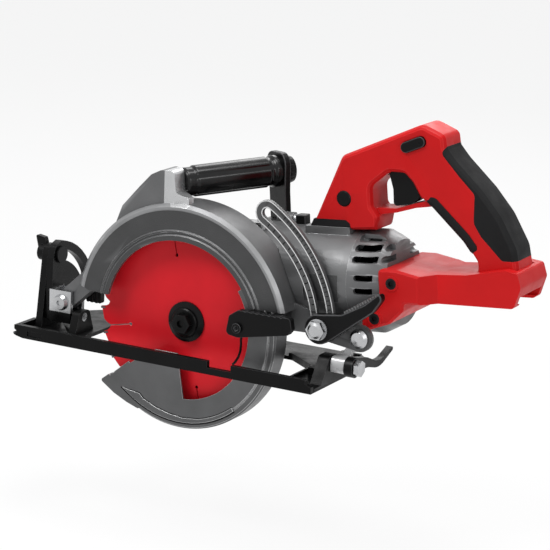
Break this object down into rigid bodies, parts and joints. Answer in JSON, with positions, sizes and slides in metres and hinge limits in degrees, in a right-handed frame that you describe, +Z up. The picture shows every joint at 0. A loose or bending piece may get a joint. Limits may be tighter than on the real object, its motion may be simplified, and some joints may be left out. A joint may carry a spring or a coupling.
{
  "type": "worm drive circular saw",
  "caption": "Cordless worm drive circular saw: guarded blade beside an in-line motor, cross handle, rear D-handle with battery rail, and a foot that sets depth and bevel.",
  "frame": {"origin": "on the sole of the foot, in the plane of the blade, straight below the arbor", "axes": "+X to the rear of the saw, +Y from the blade towards the motor side, +Z up from the sole"},
  "size_m": [0.4796, 0.1518, 0.2958],
  "materials": {
    "cast_alloy": "satin grey",
    "guard_alloy": "blasted",
    "blade_steel": "brushed",
    "machined_steel": "machined",
    "bronze": "machined",
    "zinc_steel": "zinc plated",
    "black_metal": "satin black",
    "foot_alloy": "matt black",
    "black_plastic": "matt",
    "red_plastic": "satin red",
    "black_rubber": "matt",
    "board_green": "lacquered",
    "contact_brass": "bright"
  },
  "bodies": {
    "saw_body": {"upper_guard": "cast_alloy", "guard_retainer": "machined_steel", "dust_chute": "black_plastic", "gear_case": "cast_alloy", "case_cover": "cast_alloy", "case_screws": "machined_steel", "oil_plug": "machined_steel", "motor_housing": "cast_alloy", "vent_cap": "cast_alloy", "stator": "machined_steel", "motor_bearings": "machined_steel", "arbor_bearings": "machined_steel", "front_handle": "black_plastic", "handle_bracket": "black_metal", "handle_end_cap": "black_plastic", "handle_left": "red_plastic", "handle_right": "red_plastic", "rubber_grip": "black_rubber", "handle_gasket": "black_rubber", "battery_base": "red_plastic", "handle_caps": "black_plastic", "handle_screws": "black_metal", "switch_block": "black_plastic", "control_board": "board_green", "battery_contacts": "contact_brass", "guard_spring": "machined_steel", "trigger_pin": "machined_steel"},
    "arbor": {"arbor_shaft": "machined_steel", "worm_wheel": "bronze", "inner_flange": "machined_steel", "outer_flange": "machined_steel", "blade": "blade_steel", "blade_bolt": "machined_steel"},
    "rotor": {"rotor_shaft": "machined_steel", "rotor_core": "machined_steel", "cooling_fan": "black_plastic"},
    "lower_guard": {"lower_guard": "guard_alloy", "guard_lever": "black_plastic", "lever_screw": "machined_steel"},
    "tilt_brackets": {"front_bracket": "black_metal", "bevel_quadrant": "black_metal", "pivot_bolt": "zinc_steel", "rear_bracket": "black_metal", "arm_rivet": "zinc_steel"},
    "slotted_arm": {"depth_arm": "zinc_steel"},
    "depth_lock": {"depth_lever": "black_plastic", "depth_bolt": "zinc_steel"},
    "foot": {"foot": "foot_alloy", "bevel_pins": "zinc_steel", "bevel_stud": "zinc_steel"},
    "bevel_wing": {"wing_lever": "black_plastic"},
    "bevel_lock": {"bevel_lever": "black_plastic"},
    "trigger": {"trigger": "black_plastic"},
    "lock_button": {"lock_button": "black_plastic"},
    "spindle_lock": {"spindle_lock": "black_plastic"}
  },
  "joints": [
    {"name": "blade_spin", "type": "hinge", "parent": "saw_body", "child": "arbor", "pos_m": [0, 0.02, 0.032], "axis": [0, 1, 0], "continuous": true},
    {"name": "rotor_spin", "type": "hinge", "parent": "saw_body", "child": "rotor", "pos_m": [-0.00331, 0.055, 0.06986], "axis": [0.9962, 0, 0.0872], "continuous": true},
    {"name": "lower_guard_swing", "type": "hinge", "parent": "saw_body", "child": "lower_guard", "pos_m": [0, 0, 0.032], "axis": [0, -1, 0], "range_deg": [0, 100], "stiffness_Nm_per_rad": 0.3, "springref_deg": -68.75, "deforming": ["guard_spring"]},
    {"name": "depth_tilt", "type": "hinge", "parent": "saw_body", "child": "tilt_brackets", "pos_m": [-0.131, 0, 0.031], "axis": [0, 1, 0], "range_deg": [0, 24]},
    {"name": "arm_swing", "type": "hinge", "parent": "tilt_brackets", "child": "slotted_arm", "pos_m": [0.173, 0.004, 0.044], "axis": [0, 1, 0], "range_deg": [0, 13]},
    {"name": "bevel_tilt", "type": "hinge", "parent": "tilt_brackets", "child": "foot", "pos_m": [0, 0, 0.018], "axis": [-1, 0, 0], "range_deg": [0, 53]},
    {"name": "depth_lock_turn", "type": "hinge", "parent": "saw_body", "child": "depth_lock", "pos_m": [0.137, 0, 0.0485], "axis": [0, -1, 0], "range_deg": [0, 35]},
    {"name": "bevel_wing_turn", "type": "hinge", "parent": "foot", "child": "bevel_wing", "pos_m": [-0.164, 0.00798, 0.07141], "axis": [1, 0, 0], "range_deg": [0, 60]},
    {"name": "bevel_lock_turn", "type": "hinge", "parent": "foot", "child": "bevel_lock", "pos_m": [0.17, 0, 0.018], "axis": [1, 0, 0], "range_deg": [0, 15]},
    {"name": "trigger_pull", "type": "hinge", "parent": "saw_body", "child": "trigger", "pos_m": [0.18279, 0.055, 0.19154], "axis": [0, -1, 0], "range_deg": [0, 9], "stiffness_Nm_per_rad": 1, "springref_deg": -5.73},
    {"name": "lock_button_push", "type": "slide", "parent": "saw_body", "child": "lock_button", "axis": [0, 1, 0], "range_m": [0, 0.003], "stiffness_N_per_m": 1500, "springref_m": -0.002},
    {"name": "spindle_lock_push", "type": "slide", "parent": "saw_body", "child": "spindle_lock", "axis": [0.0872, 0, -0.9962], "range_m": [0, 0.004], "stiffness_N_per_m": 1200, "springref_m": -0.002}
  ],
  "couplings": [
    {"joint": "rotor_spin", "follows": "blade_spin", "ratio": -3},
    {"joint": "arm_swing", "follows": "depth_tilt", "ratio": 0.54}
  ]
}
